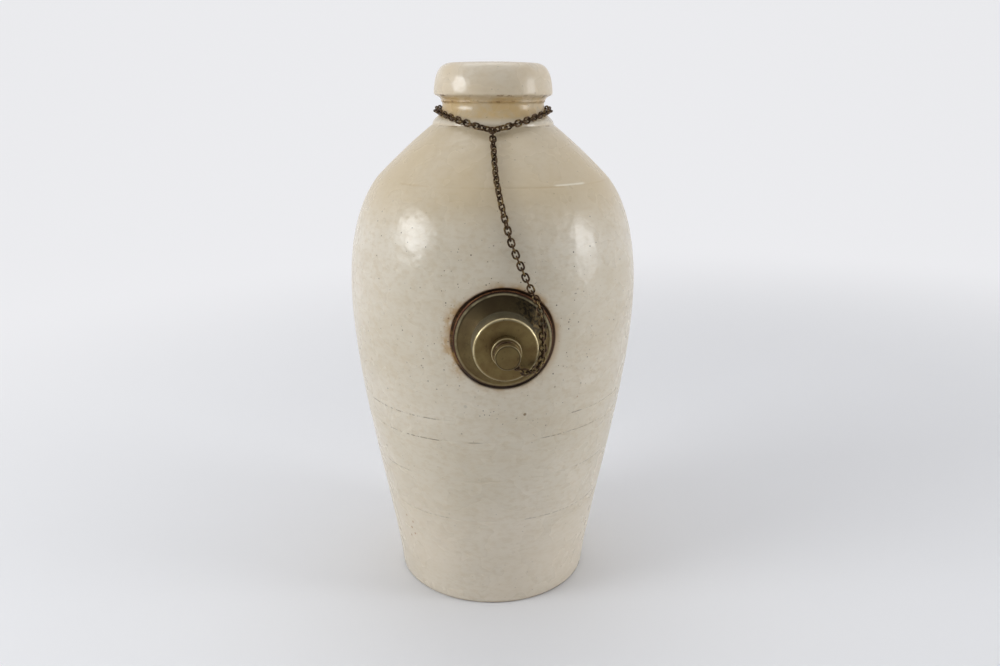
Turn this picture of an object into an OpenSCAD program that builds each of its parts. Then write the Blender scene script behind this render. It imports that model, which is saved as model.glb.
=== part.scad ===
// Upright stoneware hot water bottle with a screw stopper that hangs on a chain.
// Millimetres, +Z up, origin at the middle of the flat base. The stopper faces -Y.

/* [Bottle] */
// Radius of the flat base
base_r = 53.3; // [49:0.1:58]
// Largest radius of the belly
belly_r = 76; // [73:0.5:80]
// Height of the belly's widest place
belly_z = 163; // [157:1:168]
// Radius at the crease between belly and shoulder
shoulder_r = 60; // [57:0.5:63]
// Height of that crease
shoulder_z = 223.7; // [220:0.1:227]
// Radius where the shoulder begins its sweep into the neck
sweep_r = 35; // [33:0.5:37]
// Height where that sweep begins
sweep_z = 247; // [244:0.5:249]
// Radius of the neck under the knob
neck_r = 26; // [24:0.5:28]
// Height of the neck's narrowest place
neck_z = 259.5; // [258:0.5:263]
// Thickness of the wall
wall = 9; // [7:0.5:10]
// Thickness of the base
floor_t = 10; // [8:0.5:14]
// Rounding at the foot of the side
foot_round = 1.5; // [0.5:0.1:3]

/* [Closed knob on top] */
// Largest radius of the knob, at its lower edge
knob_r = 30.3; // [28.5:0.1:33]
// Rise of the undercut from the neck to the knob's lower edge
undercut = 5; // [4:0.1:7]
// Height of the knob above its lower edge
knob_h = 15.5; // [12:0.5:20]
// Radius of the nearly flat top
knob_flat_r = 21; // [17:0.5:25]
// Rise of the top towards its middle
knob_crown = 0.6; // [0.2:0.1:2]
// Radius of the hollow inside the neck
neck_hollow_r = 13; // [10:0.5:15]
// Stoneware above that hollow
crown_t = 13; // [10:0.5:17]

/* [Wheel marks] */
// Heights of the rings cut into the side
mark_heights = [54.6, 78, 103.3, 114.8]; // [40:0.1:140]
// Radius of the tool that cut them
mark_tool_r = 0.6; // [0.3:0.1:1]

/* [Stopper] */
// Height of the stopper's axis
stopper_z = 156.6; // [153:0.1:162]
// Depth of the flat seat below the front of the belly
seat_depth = 4; // [3.5:0.1:4.5]
// Radius of the rubber washer
washer_r = 23.5; // [23:0.1:25]
// Thickness of the washer
washer_t = 2.2; // [1.5:0.1:3]
// Room round the washer in its seat
seat_room = 0.9; // [0.4:0.1:1.5]
// Radius of the flange
flange_r = 22.6; // [22:0.1:23]
// Thickness of the flange's rim
rim_t = 1.3; // [1:0.1:2]
// Rise of the conical skirt from the rim to the hub
skirt_h = 4.8; // [4:0.1:6]
// Radius of the hub
hub_r = 14.8; // [14:0.1:16]
// Height of the hub's side
hub_h = 10.2; // [9:0.1:12]
// Rounding of the hub's edge
hub_round = 1.2; // [0.5:0.1:2]
// Wall of the hollow hub
hub_wall = 1.5; // [1:0.1:2.5]

/* [Stopper knob] */
// Radius of the collar on the hub
collar_r = 6.8; // [6:0.1:7]
// Height of the collar
collar_h = 4; // [3:0.1:5.5]
// Radius at the bottom of the groove
groove_r = 4.6; // [4.2:0.1:4.9]
// Width of the groove
groove_w = 2.5; // [2:0.1:3.5]
// Radius of the head
head_r = 5.7; // [5.6:0.1:6.4]
// Height of the head
head_h = 4; // [3:0.1:5.5]
// Rounding of the collar and the head
knob_round = 0.8; // [0.3:0.1:1.2]
// Radius of the stud that holds the stopper together
stud_r = 3; // [2:0.1:4]

/* [Screw] */
// Advance of the thread in one turn
thread_lead = 3; // [2.6:0.1:4]
// Radius of the screw under its thread
screw_core_r = 12.4; // [11.5:0.1:13]
// Depth of the thread
thread_depth = 1.2; // [0.8:0.1:1.4]
// Room between the two threads
thread_room = 0.4; // [0.3:0.05:0.6]
// Length of the screw behind the washer
screw_l = 10.5; // [9:0.5:13]
// Wall of the brass bush outside its thread
bush_wall = 2.4; // [1.5:0.1:3]
// Length of the bush
bush_l = 12; // [10:0.5:14]
// Thickness of the cement round the bush
cement_t = 2; // [1:0.1:3]
// Length of the cement
cement_l = 9; // [6:0.5:11]
// Thickness of the washer under the riveted stud
stud_washer_t = 1.5; // [1:0.1:2.5]

/* [Chain] */
// Thickness of the wire
wire = 0.9; // [0.7:0.05:1]
// Outer width of a link
link_w = 3.6; // [3.4:0.1:4]
// Distance from link to link
link_pitch = 2.85; // [2.7:0.05:3.2]
// Play between two links
link_play = 0.12; // [0.08:0.01:0.2]
// Room between the chain and the stoneware
chain_room = 0.3; // [0.2:0.05:0.6]
// Middle radius of the joining ring
joining_r = 1.75; // [1.7:0.05:2.2]
// Wire of the swivel ring
swivel_wire = 1; // [0.8:0.05:1.2]
// Room between the swivel ring and its groove
swivel_room = 0.35; // [0.2:0.05:0.5]
// Middle radius of the swivel ring's eye
eye_r = 1.3; // [1.25:0.05:1.6]

/* [Hidden] */
$fn = 64;

// Vectors and curves
function unit(v) = v / norm(v);
function mix(a, b, t) = a + (b - a) * t;
function reverse(v) = [for (i = [len(v) - 1 : -1 : 0]) v[i]];
function last(v) = v[len(v) - 1];
function bezier(a, b, c, d, t) =
    a * pow(1 - t, 3) + b * 3 * t * pow(1 - t, 2) + c * 3 * t * t * (1 - t) + d * pow(t, 3);
function curve(a, b, c, d, n) = [for (i = [1 : n]) bezier(a, b, c, d, i / n)];
function through(p, i, t) =
    let (before = p[max(i - 1, 0)], here = p[i], next = p[i + 1], after = p[min(i + 2, len(p) - 1)])
    0.5 * (2 * here + (next - before) * t + (2 * before - 5 * here + 4 * next - after) * t * t
        + (3 * here - before - 3 * next + after) * pow(t, 3));
function smooth(p, n) = concat([for (i = [0 : len(p) - 2], k = [0 : n - 1]) through(p, i, k / n)], [last(p)]);

// Distance along a path at each of its points, and a path cut into n equal steps
function lengths(p) =
    [for (i = 0, s = 0; i < len(p); s = s + (i + 1 < len(p) ? norm(p[i + 1] - p[i]) : 0), i = i + 1) s];
function equal_steps(p, n) =
    let (s = lengths(p))
    let (tables = [for (c = [0 : 2]) [for (i = [0 : len(p) - 1]) [s[i], p[i][c]]]])
    [for (k = [0 : n]) [for (c = [0 : 2]) lookup(last(s) * k / n, tables[c])]];
function odd_at_least(x) = let (n = ceil(x)) n % 2 == 1 ? n : n + 1;

// Outer profile of the bottle from its foot to its neck, as [radius, height]
curve_steps = 14;
side_flare = 6.2;
side_rise = 50;
belly_low = 47;
belly_high = 32;
shoulder_pull = [9, -10.7];
sweep_steps = 8;
sweep_pull = 6.8;
neck_pull = 4.5;
foot_steps = 4;
foot = [base_r, foot_round];
belly = [belly_r, belly_z];
shoulder = [shoulder_r, shoulder_z];
sweep = [sweep_r, sweep_z];
neck = [neck_r, neck_z];
slope = unit(sweep - shoulder);
flank = concat(
    [foot],
    curve(foot, foot + [side_flare, side_rise], belly - [0, belly_low], belly, curve_steps),
    curve(belly, belly + [0, belly_high], shoulder + shoulder_pull, shoulder, curve_steps));
shank = concat([sweep], curve(sweep, sweep + sweep_pull * slope, neck - [0, neck_pull], neck, sweep_steps));
skin = concat(flank, shank);

// A profile moved outwards along its normals, and its radius at a height
function normal_at(p, i) =
    let (t = p[min(i + 1, len(p) - 1)] - p[max(i - 1, 0)])
    unit([t[1], -t[0]]);
function moved_out(p, d) = [for (i = [0 : len(p) - 1]) p[i] + d * normal_at(p, i)];
function radius_at(p, z) = lookup(z, [for (q = p) [q[1], q[0]]]);

// Closed knob, from the neck to the middle of its top
lip = 0.7;
knob_lean = 0.4;
knob_pull = 0.8 * (knob_r - knob_flat_r);
knob_steps = 8;
edge_z = neck_z + undercut;
top_z = edge_z + knob_h;
knob_edge = [knob_r, edge_z];
knob_flat = [knob_flat_r, top_z - knob_crown];
knob_outline = concat(
    [knob_edge - [lip, lip], knob_edge],
    curve(knob_edge, knob_edge + [-knob_lean, knob_h / 2], knob_flat + [knob_pull, 0], knob_flat, knob_steps),
    [[0, top_z]]);

// Hollow inside the bottle
hollow_corner = 3;
hollow_z = top_z - crown_t;
inner_skin = moved_out(flank, -wall);
inner_side = [for (p = inner_skin) if (p[1] > floor_t + 1) p];
inner_end = last(inner_side);
inner_rise = -slope[1] / slope[0];
neck_hollow_z = inner_end[1] + (inner_end[0] - neck_hollow_r) * inner_rise;
hollow_outline = concat(
    [[0, floor_t], [radius_at(inner_skin, floor_t), floor_t]],
    inner_side,
    [[neck_hollow_r, neck_hollow_z], [neck_hollow_r, hollow_z - hollow_corner],
        [neck_hollow_r - hollow_corner, hollow_z], [0, hollow_z]]);
foot_arc = [for (i = [0 : foot_steps - 1])
    foot + foot_round * [sin(90 * i / foot_steps) - 1, -cos(90 * i / foot_steps)]];

// Stopper: heights along its axis, counted outwards from the flat seat
seat_y = -(radius_at(skin, stopper_z) - seat_depth);
seat_r = washer_r + seat_room;
rim_h = washer_t + rim_t;
hub_foot_h = rim_h + skirt_h;
hub_face_h = hub_foot_h + hub_h;
groove_h = hub_face_h + collar_h;
head_foot_h = groove_h + groove_w;
head_top_h = head_foot_h + head_h;
rim_r = flange_r - rim_t / 2;
rim_land = 1;
hub_ledge = 0.2;
boss_r = 9;
boss_h = 6;
tail_r = 4.2;
tail_h = 1.5;
screw_crest_r = screw_core_r + thread_depth;
bush_bore_r = screw_crest_r + thread_room;
bush_r = bush_bore_r + bush_wall;
hole_r = bush_r + cement_t;

// Thread: a ridge that winds up the axis, right-handed
thread_sections = 24;
thread_end = 1.2;
thread_root_w = 0.25 * thread_lead;
thread_crest_w = 0.12 * thread_lead;
thread_bite = 0.3;

// Links
link_end_r = (link_w - wire) / 2;
link_straight = link_pitch + wire + link_play - 2 * link_end_r;
hold = (wire + link_play) / 2;
stand_off = link_w / 2 + chain_room;
chain_skin = moved_out(skin, stand_off);

// Neck loop: heights below the neck's narrowest place, at the front, the sides and the back
loop_front_drop = 11.3;
loop_side_drop = 2.9;
loop_back_drop = 1.2;
loop_step = 3;
ring_azimuth = -4.2;
strand_angle = 25;
loop_gap = 4;
function loop_z(a) =
    let (turn = abs(a - ring_azimuth))
    neck_z - (turn < 90 ? mix(loop_front_drop, loop_side_drop, sin(turn))
        : mix(loop_side_drop, loop_back_drop, sin(turn - 90)));
function on_skin(azimuth, z, lift) =
    let (r = radius_at(chain_skin, z) + lift)
    [r * sin(azimuth), -r * cos(azimuth), z];
function skin_normal(p) =
    let (r = norm([p[0], p[1]]), rise = radius_at(chain_skin, p[2] + 0.5) - radius_at(chain_skin, p[2] - 0.5))
    unit([p[0] / r, p[1] / r, -rise]);

// Joining ring, flat on the shoulder where the strands meet
ring_at = on_skin(ring_azimuth, neck_z - loop_front_drop, 0);
ring_normal = skin_normal(ring_at);
ring_right = unit(cross([0, 0, 1], ring_normal));
ring_up = cross(ring_normal, ring_right);
function ring_hold(angle) = ring_at + (joining_r - hold) * (cos(angle) * ring_right + sin(angle) * ring_up);
loop_path = concat(
    [ring_hold(strand_angle)],
    [for (a = [ring_azimuth + loop_gap : loop_step : ring_azimuth + 360 - loop_gap])
        on_skin(a, loop_z(a > 180 + ring_azimuth ? 2 * ring_azimuth + 360 - a : a), 0)],
    [ring_hold(180 - strand_angle)]);
loop_links = odd_at_least(last(lengths(loop_path)) / link_pitch);
loop_joints = equal_steps(loop_path, loop_links);

// Swivel ring, with its eye to the lower right of the knob
eye_angle = -55;
swivel_r = groove_r + swivel_room + swivel_wire / 2;
eye_bite = 0.1;
eye_at_r = swivel_r + swivel_wire / 2 + eye_r - eye_bite;
swivel_h = groove_h + groove_w / 2;

// Place of a point given round the stopper: clock angle from +X, radius and height along the axis
function by_stopper(angle, r, h) = [r * cos(angle), seat_y - h, stopper_z + r * sin(angle)];

// Drop: down the shoulder as [share of the height, azimuth, lift off the skin],
// then past the hub as [clock angle, radius beyond the hub, height beyond the hub's face]
drape = [[0.76, -2.6, 0.3], [0.66, -1.5, 0.4], [0.558, -0.2, 0.4], [0.37, 2.6, 0.3], [0.23, 5.6, 0.8],
    [0.098, 8.5, 2.6]];
past_hub = [[49, 8.8, -11.5], [32, 5.1, -8.5], [12, 2.6, -6], [-7, 2.2, -2.6], [-22, 1.6, 0.9],
    [-35, 0, 3.4], [-47, -2.9, 4.9]];
drape_foot_z = by_stopper(past_hub[0][0], hub_r + past_hub[0][1], 0)[2];
drop_steps = 6;
drop_path = smooth(concat(
    [ring_hold(-90)],
    [for (d = drape) on_skin(d[1], mix(drape_foot_z, ring_at[2], d[0]), d[2])],
    [for (p = past_hub) by_stopper(p[0], hub_r + p[1], hub_face_h + p[2])],
    [by_stopper(eye_angle, eye_at_r + eye_r - hold, swivel_h)]), drop_steps);
drop_links = odd_at_least(last(lengths(drop_path)) / link_pitch);
drop_joints = equal_steps(drop_path, drop_links);

// Lean of the links: none where a chain begins, half way over along the neck and the shoulder,
// and none again from the middle of the drop
lean_most = 45;
lean_links = 4;
function eased(t) =
    let (u = min(max(t, 0), 1))
    u * u * (3 - 2 * u);
function loop_lean(i) = lean_most * eased(min(i, loop_links - 1 - i) / lean_links);
function drop_lean(i) = lean_most * eased(i / lean_links) * eased(2 - 4 * i / drop_links);

// Stretches of the chains, as the first link of each and the end of the last
loop_cuts = [for (k = [0 : 4]) round(loop_links * k / 4)];
swing_share = [0.34, 0.8];
swing_from = round(drop_links * swing_share[0]);
swing_to = round(drop_links * swing_share[1]);
drop_cuts = [0, round(swing_from / 2), swing_from, round(mix(swing_from, swing_to, 1 / 3)),
    round(mix(swing_from, swing_to, 2 / 3)), swing_to, round(mix(swing_to, drop_links, 0.5)), drop_links];
echo(seat_y = seat_y, top_z = top_z, loop_links = loop_links, drop_links = drop_links);
echo(swing_pivot = drop_joints[swing_from], open_pivot = drop_joints[swing_to], eye = last(drop_joints));

// The stopper's own frame: +Z outwards along its axis, +Y up
module at_stopper() {
    translate([0, seat_y, stopper_z])
        rotate([90, 0, 0])
            children();
}

// Outline of a turned disc with one rounded edge, from its foot up
module turned_edge(r, h, round_r) {
    square([r, h - round_r]);
    square([r - round_r, h]);
    translate([r - round_r, h - round_r])
        circle(round_r);
}

module tube(outer_r, inner_r, h) {
    difference() {
        cylinder(r = outer_r, h = h);
        translate([0, 0, -1])
            cylinder(r = inner_r, h = h + 2);
    }
}

// Ridge of a thread between two heights, from a buried root to its crest
module thread_ridge(root_r, crest_r, z0, z1, phase) {
    count = ceil((z1 - z0) / thread_lead * thread_sections);
    points = [for (i = [0 : count])
        let (z = mix(z0, z1, i / count), a = 360 * (z - z0) / thread_lead + phase)
        for (q = [[root_r, -thread_root_w], [crest_r, -thread_crest_w],
            [crest_r, thread_crest_w], [root_r, thread_root_w]])
            [q[0] * cos(a), q[0] * sin(a), z + q[1]]];
    outwards = crest_r > root_r;
    sides = [for (i = [0 : count - 1], k = [0 : 3])
        let (a = 4 * i + k, b = 4 * i + (k + 1) % 4)
        for (t = [[a, b, b + 4], [a, b + 4, a + 4]]) t];
    end = 4 * count;
    ends = [[0, 3, 2], [0, 2, 1], [end, end + 1, end + 2], [end, end + 2, end + 3]];
    faces = concat(sides, ends);
    polyhedron(points, outwards ? faces : [for (f = faces) reverse(f)]);
}

module stoneware_bottle() {
    color("#d6c8b0")
        difference() {
            rotate_extrude()
                polygon(concat([[0, 0]], foot_arc, skin, knob_outline, reverse(hollow_outline)));
            for (z = mark_heights)
                rotate_extrude()
                    translate([radius_at(skin, z), z])
                        circle(mark_tool_r);
            at_stopper() {
                cylinder(r = seat_r, h = belly_r);
                translate([0, 0, -2 * wall - cement_l])
                    cylinder(r = hole_r, h = 3 * wall + cement_l);
            }
        }
}

module bush_cement() {
    color("#b8b2a4")
        at_stopper()
            translate([0, 0, -cement_l])
                tube(hole_r, bush_r, cement_l);
}

module filler_bush() {
    color("#8f7a3e")
        at_stopper() {
            translate([0, 0, -bush_l])
                tube(bush_r, bush_bore_r, bush_l);
            thread_ridge(bush_bore_r + thread_bite, bush_bore_r - thread_depth,
                -bush_l + thread_end, -thread_end, 180 + 360 * (screw_l - bush_l) / thread_lead);
        }
}

module sealing_washer() {
    color("#8e3326")
        at_stopper()
            tube(washer_r, screw_crest_r + thread_room, washer_t);
}

module stopper_flange() {
    color("#6e6138")
        at_stopper()
            rotate_extrude() {
                polygon([[boss_r, washer_t], [rim_r, washer_t], [rim_r, rim_h], [rim_r - rim_land, rim_h],
                    [hub_r + hub_ledge, hub_foot_h], [boss_r, hub_foot_h]]);
                translate([rim_r, washer_t + rim_t / 2])
                    circle(rim_t / 2);
            }
}

module stopper_hub() {
    color("#746740")
        at_stopper()
            translate([0, 0, hub_foot_h])
                rotate_extrude()
                    difference() {
                        turned_edge(hub_r, hub_h, hub_round);
                        translate([0, -1])
                            square([stud_r, hub_h + 2]);
                        translate([0, -1])
                            square([hub_r - hub_wall, hub_h - hub_wall + 1]);
                    }
}

module stopper_knob() {
    color("#7a6c43")
        at_stopper() {
            translate([0, 0, hub_face_h])
                rotate_extrude()
                    turned_edge(collar_r, collar_h, knob_round);
            translate([0, 0, groove_h - knob_round])
                cylinder(r = groove_r, h = groove_w + knob_round + 1);
            translate([0, 0, head_foot_h])
                rotate_extrude()
                    turned_edge(head_r, head_h, knob_round);
            translate([0, 0, -screw_l - stud_washer_t])
                cylinder(r = stud_r, h = screw_l + stud_washer_t + hub_face_h + 1);
            translate([0, 0, -screw_l - stud_washer_t - tail_h])
                cylinder(r1 = tail_r - tail_h / 2, r2 = tail_r, h = tail_h);
        }
}

module stopper_screw() {
    color("#8f7a3e")
        at_stopper()
            difference() {
                union() {
                    translate([0, 0, -screw_l])
                        cylinder(r = screw_core_r, h = screw_l + washer_t);
                    cylinder(r = boss_r, h = washer_t + boss_h);
                    thread_ridge(screw_core_r - thread_bite, screw_crest_r,
                        -screw_l + thread_end, -thread_end, 0);
                }
                translate([0, 0, -screw_l - 1])
                    cylinder(r = stud_r, h = screw_l + washer_t + boss_h + 2);
            }
}

module stud_washer() {
    color("#8f7a3e")
        at_stopper()
            translate([0, 0, -screw_l - stud_washer_t])
                tube(2 * stud_r, stud_r, stud_washer_t);
}

module wire_ring(middle_r, thickness) {
    rotate_extrude()
        translate([middle_r, 0])
            circle(thickness / 2);
}

module swivel_ring() {
    color("#4a3a2a")
        at_stopper()
            translate([0, 0, swivel_h]) {
                wire_ring(swivel_r, swivel_wire);
                rotate([0, 0, eye_angle])
                    translate([eye_at_r, 0, 0])
                        wire_ring(eye_r, wire);
            }
}

// A shape set with its own X, Y and Z along three square directions
module set_along(x, y, z, place) {
    multmatrix([
        [x[0], y[0], z[0], place[0]],
        [x[1], y[1], z[1], place[1]],
        [x[2], y[2], z[2], place[2]],
        [0, 0, 0, 1]])
        children();
}

module joining_ring() {
    color("#3d2c20")
        set_along(ring_right, ring_up, ring_normal, ring_at)
            wire_ring(joining_r, wire);
}

// One oval link along X, flat in the XY plane
module link() {
    for (side = [-1, 1]) {
        translate([-link_straight / 2, side * link_end_r, 0])
            rotate([0, 90, 0])
                cylinder(r = wire / 2, h = link_straight);
        translate([side * link_straight / 2, 0, 0])
            rotate([0, 0, -90 * side])
                rotate_extrude(angle = 180)
                    translate([link_end_r, 0])
                        circle(wire / 2);
    }
}

// A link from one joint of the chain to the next, turned by an angle from flat against what it lies on
module set_link(from, to, outwards, turn) {
    x = unit(to - from);
    side = unit(cross(x, outwards));
    edge = cross(side, x);
    y = cos(turn) * side + sin(turn) * edge;
    set_along(x, y, cross(x, y), (from + to) / 2)
        link();
}

function link_turn(i, lean) = (i % 2 == 1 ? 0 : 90) + lean;

module loop_stretch(k) {
    color("#3d2c20")
        for (i = [loop_cuts[k] : loop_cuts[k + 1] - 1])
            set_link(loop_joints[i], loop_joints[i + 1],
                skin_normal((loop_joints[i] + loop_joints[i + 1]) / 2), link_turn(i, loop_lean(i)));
}

module drop_stretch(k) {
    color("#3d2c20")
        for (i = [drop_cuts[k] : drop_cuts[k + 1] - 1])
            set_link(drop_joints[i], drop_joints[i + 1], [0, -1, 0], link_turn(i, drop_lean(i)));
}

module neck_chain_right() loop_stretch(0);
module neck_chain_back_right() loop_stretch(1);
module neck_chain_back_left() loop_stretch(2);
module neck_chain_left() loop_stretch(3);
module shoulder_chain_upper() drop_stretch(0);
module shoulder_chain_lower() drop_stretch(1);
module belly_chain_upper() drop_stretch(2);
module belly_chain_middle() drop_stretch(3);
module belly_chain_lower() drop_stretch(4);
module stopper_chain_side() drop_stretch(5);
module stopper_chain_end() drop_stretch(6);

stoneware_bottle();
bush_cement();
filler_bush();
sealing_washer();
stopper_flange();
stopper_hub();
stopper_knob();
stopper_screw();
stud_washer();
swivel_ring();
joining_ring();
neck_chain_left();
neck_chain_back_left();
neck_chain_back_right();
neck_chain_right();
shoulder_chain_upper();
shoulder_chain_lower();
belly_chain_upper();
belly_chain_middle();
belly_chain_lower();
stopper_chain_side();
stopper_chain_end();
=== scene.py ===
"""Looks of an upright stoneware hot water bottle with a screw stopper on a chain, around its solids."""

import math

import bmesh
import bpy
import numpy as np
from mathutils import Matrix, Vector, noise


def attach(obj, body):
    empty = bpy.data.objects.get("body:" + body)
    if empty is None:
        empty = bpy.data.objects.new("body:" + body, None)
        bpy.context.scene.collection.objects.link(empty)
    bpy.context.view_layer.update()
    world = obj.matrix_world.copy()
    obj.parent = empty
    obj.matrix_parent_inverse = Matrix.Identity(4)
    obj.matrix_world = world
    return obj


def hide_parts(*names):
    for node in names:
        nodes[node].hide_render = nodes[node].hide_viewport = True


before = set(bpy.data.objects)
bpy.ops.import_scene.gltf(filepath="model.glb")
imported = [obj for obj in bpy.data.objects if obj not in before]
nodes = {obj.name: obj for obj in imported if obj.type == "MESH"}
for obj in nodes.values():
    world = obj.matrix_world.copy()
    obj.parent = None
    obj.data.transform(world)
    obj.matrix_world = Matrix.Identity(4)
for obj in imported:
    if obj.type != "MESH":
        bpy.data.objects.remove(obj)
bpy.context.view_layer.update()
scene = bpy.context.scene

MM = 0.001
FULL_TURN = 2 * math.pi
WELD = 1e-6

# Bottle, in millimetres as in the part's source
FOOT = (53.3, 1.5)
BELLY = (76.0, 163.0)
SHOULDER = (60.0, 223.7)
COLLAR_FOOT = (31.4, 249.5)
NECK = (26.0, 259.5)
KNOB_EDGE = (30.3, 264.5)
KNOB_FLAT = (21.0, 279.4)
TOP_Z = 280.0
FOOT_ROUND = 1.5
WALL = 9.0
FLOOR_T = 10.0
HOLLOW_TOP = 267.0
NECK_HOLLOW_R = 13.0
CONE_TOP = (35.0, 247.0)
MARK_HEIGHTS = (54.6, 78.0, 103.3, 114.8)

# Stopper, as radius and height along its axis outwards from its seat
STOPPER_Z = 156.6
SEAT_Y = -71.8495
SEAT_R = 24.4
HOLE_R = 18.4
WASHER_R = 23.5
WASHER_T = 2.2
BUSH_BORE_R = 14.0
FLANGE_R = 22.6
RIM_T = 1.3
RIM_H = 3.5
HUB_FOOT_H = 8.3
HUB_FACE_H = 18.5
HUB_R = 14.8
HUB_WALL = 1.5
BOSS_R = 9.0
COLLAR_R = 6.8
GROOVE_H = 22.5
GROOVE_R = 4.6
HEAD_FOOT_H = 25.0
HEAD_R = 5.7
HEAD_TOP_H = 29.0
STUD_R = 3.0
STUD_END_H = -12.0
TAIL_R = 4.2
TAIL_H = 1.5


def srgb(red, green, blue):
    """A colour written as it looks on a screen, as the linear colour that a shader takes."""
    def linear(level):
        share = level / 255
        return share / 12.92 if share <= 0.04045 else ((share + 0.055) / 1.055) ** 2.4
    return (linear(red), linear(green), linear(blue), 1.0)


def bezier(a, b, c, d, count):
    """Points of a cubic curve after its first one."""
    t = np.linspace(0, 1, count + 1)[1:, None]
    a, b, c, d = (np.array(p, float) for p in (a, b, c, d))
    return a * (1 - t) ** 3 + 3 * b * t * (1 - t) ** 2 + 3 * c * t * t * (1 - t) + d * t ** 3


def add(p, q):
    return (p[0] + q[0], p[1] + q[1])


# Outline of the bottle: the side from the foot to the collar, the neck, the lip under the knob, and the knob
FINE = 300
side_curve = np.vstack([
    [FOOT],
    bezier(FOOT, add(FOOT, (6.2, 50)), add(BELLY, (0, -47)), BELLY, FINE),
    bezier(BELLY, add(BELLY, (0, 32)), add(SHOULDER, (9, -10.7)), SHOULDER, FINE),
    bezier(SHOULDER, (51.0, 232.8), (41.5, 241.7), COLLAR_FOOT, FINE)])
CONE_RISE = (CONE_TOP[1] - SHOULDER[1]) / (SHOULDER[0] - CONE_TOP[0])
COVE = (29.6, 252.5)
neck_curve = np.vstack([
    [add(COLLAR_FOOT, (-0.25, 0.05))],
    bezier(add(COLLAR_FOOT, (-0.2, 0.2)), (31.2, 250.7), (30.6, 251.6), COVE, 8),
    bezier(COVE, (27.8, 254.1), (26.0, 256.2), NECK, 12)])
LIP = 0.7
LIP_FOOT = (26.6, 261.5)
LIP_END = add(KNOB_EDGE, (-LIP, -LIP))
KNOB_SIDE = add(KNOB_EDGE, (-0.02, 0.6))
lip_curve = np.vstack([
    [(26.15, 260.3), (26.5, 260.7), (26.7, 260.95), (26.55, 261.2), LIP_FOOT],
    bezier(LIP_FOOT, (26.8, 262.3), add(KNOB_EDGE, (-2.6, -1.3)), LIP_END, 6)])
edge_curve = bezier(LIP_END, add(KNOB_EDGE, (-0.25, -0.35)), add(KNOB_EDGE, (0, -0.1)), KNOB_SIDE, 4)
knob_curve = bezier(KNOB_SIDE, add(KNOB_EDGE, (-0.4, 7.75)), add(KNOB_FLAT, (7.44, 0)), KNOB_FLAT, 22)
CROWN = 0.6
TOP_RADII = (16, 11, 6.5, 3, 0)
top_curve = [(r, TOP_Z - CROWN * (r / KNOB_FLAT[0]) ** 2) for r in TOP_RADII]

# Wheel marks and the crease at the shoulder
GROOVE_HEIGHTS = MARK_HEIGHTS + (SHOULDER[1],)
MARK_DEPTH = 0.3
CREASE_DEPTH = 0.28
GROOVE_HALF = 0.38
GROOVE_REACH = 1.2
# A wheel mark fades in and out: its share on average, and how much that varies
MARK_SHARE = 0.45
MARK_VARIES = 1.4
# Each wheel mark lies a little off level: its lift all round, and its climb towards the right
MARK_LIFTS = ((0.15, 1.0), (1.65, 2.3), (-0.5, 2.6), (-0.78, 1.44))
# Heights below and above the marks where the rows are level again
LEVEL_BELOW = 20.0
LEVEL_ABOVE = 126.0
# Rows of the mesh up the side and beside each groove, and how far under the collar they end
ROW_STEP = 2.0
GROOVE_ROWS = (0.16, 0.42, 0.75, 1.3)
ROWS_END = 1
LAST_ROW = 0.5

# Unevenness of the thrown side
LUMP_DEPTH = 0.10
RIDGE_DEPTH = 0.06
# How fast the unevenness varies round the bottle and upwards
MARK_RATES = (3.1, 0.31)
LUMP_RATES = (1.7, 0.045)
RIDGE_RATES = (0.35, 0.24)
# Ranges over which it sets in, away from the stopper and up from the foot
CALM_RADII = (30, 44)
PLAIN_FOOT = (3, 9)
FAR = 1e3
GLAZE_INSET = 0.13


def side_radius(z):
    """Radius of the plain side at a height, in millimetres."""
    return np.interp(z, side_curve[:, 1], side_curve[:, 0])


def side_heights():
    """Heights of the rows on the side, closer together at the wheel marks and the crease."""
    rows = list(np.arange(FOOT[1], COLLAR_FOOT[1] - ROWS_END, ROW_STEP))
    for mark in GROOVE_HEIGHTS:
        rows = [z for z in rows if abs(z - mark) > GROOVE_ROWS[-1]]
        rows += [mark + side * step for side in (-1, 1) for step in GROOVE_ROWS]
    return sorted(rows) + [COLLAR_FOOT[1] - LAST_ROW]


def groove(z):
    """Depth of a wheel mark or a crease at a height, in millimetres."""
    for mark in GROOVE_HEIGHTS:
        away = abs(z - mark)
        if away < GROOVE_REACH:
            depth = CREASE_DEPTH if mark == SHOULDER[1] else MARK_DEPTH
            return depth * math.exp(-(away / GROOVE_HALF) ** 2)
    return 0.0


def kept_share(value):
    return min(1.0, max(0.0, value))


def ramp(value, low, high):
    """0 below a range, 1 above it and even in between."""
    return kept_share((value - low) / (high - low))


def side_noise(azimuth, z, around, up):
    """Noise over the side, given how fast it varies round the bottle and upwards."""
    return noise.noise(Vector((around * math.sin(azimuth), around * math.cos(azimuth), up * z)))


def worn(x, y, z):
    """Inward move of the thrown side in millimetres: fading wheel marks, faint ridges and slight lumps."""
    azimuth = math.atan2(x, -y)
    mark = groove(z)
    if mark:
        mark *= kept_share(MARK_SHARE + MARK_VARIES * side_noise(azimuth, z, *MARK_RATES))
    lumps = LUMP_DEPTH * (1 + side_noise(azimuth, z, *LUMP_RATES))
    ridges = RIDGE_DEPTH * (1 + side_noise(azimuth, z, *RIDGE_RATES))
    from_stopper = math.hypot(x, z - STOPPER_Z) if y < 0 else FAR
    low = ramp(z, *PLAIN_FOOT)
    return mark * low + ramp(from_stopper, *CALM_RADII) * low * (lumps + ridges)


def mark_lift(azimuth, z):
    """Rise of the thrown rows at a place on the side in millimetres, which sets the marks off level."""
    lifts = [lift + climb * math.sin(azimuth) for lift, climb in MARK_LIFTS]
    return float(np.interp(z, (LEVEL_BELOW,) + MARK_HEIGHTS + (LEVEL_ABOVE,), [0.0] + lifts + [0.0]))


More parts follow.
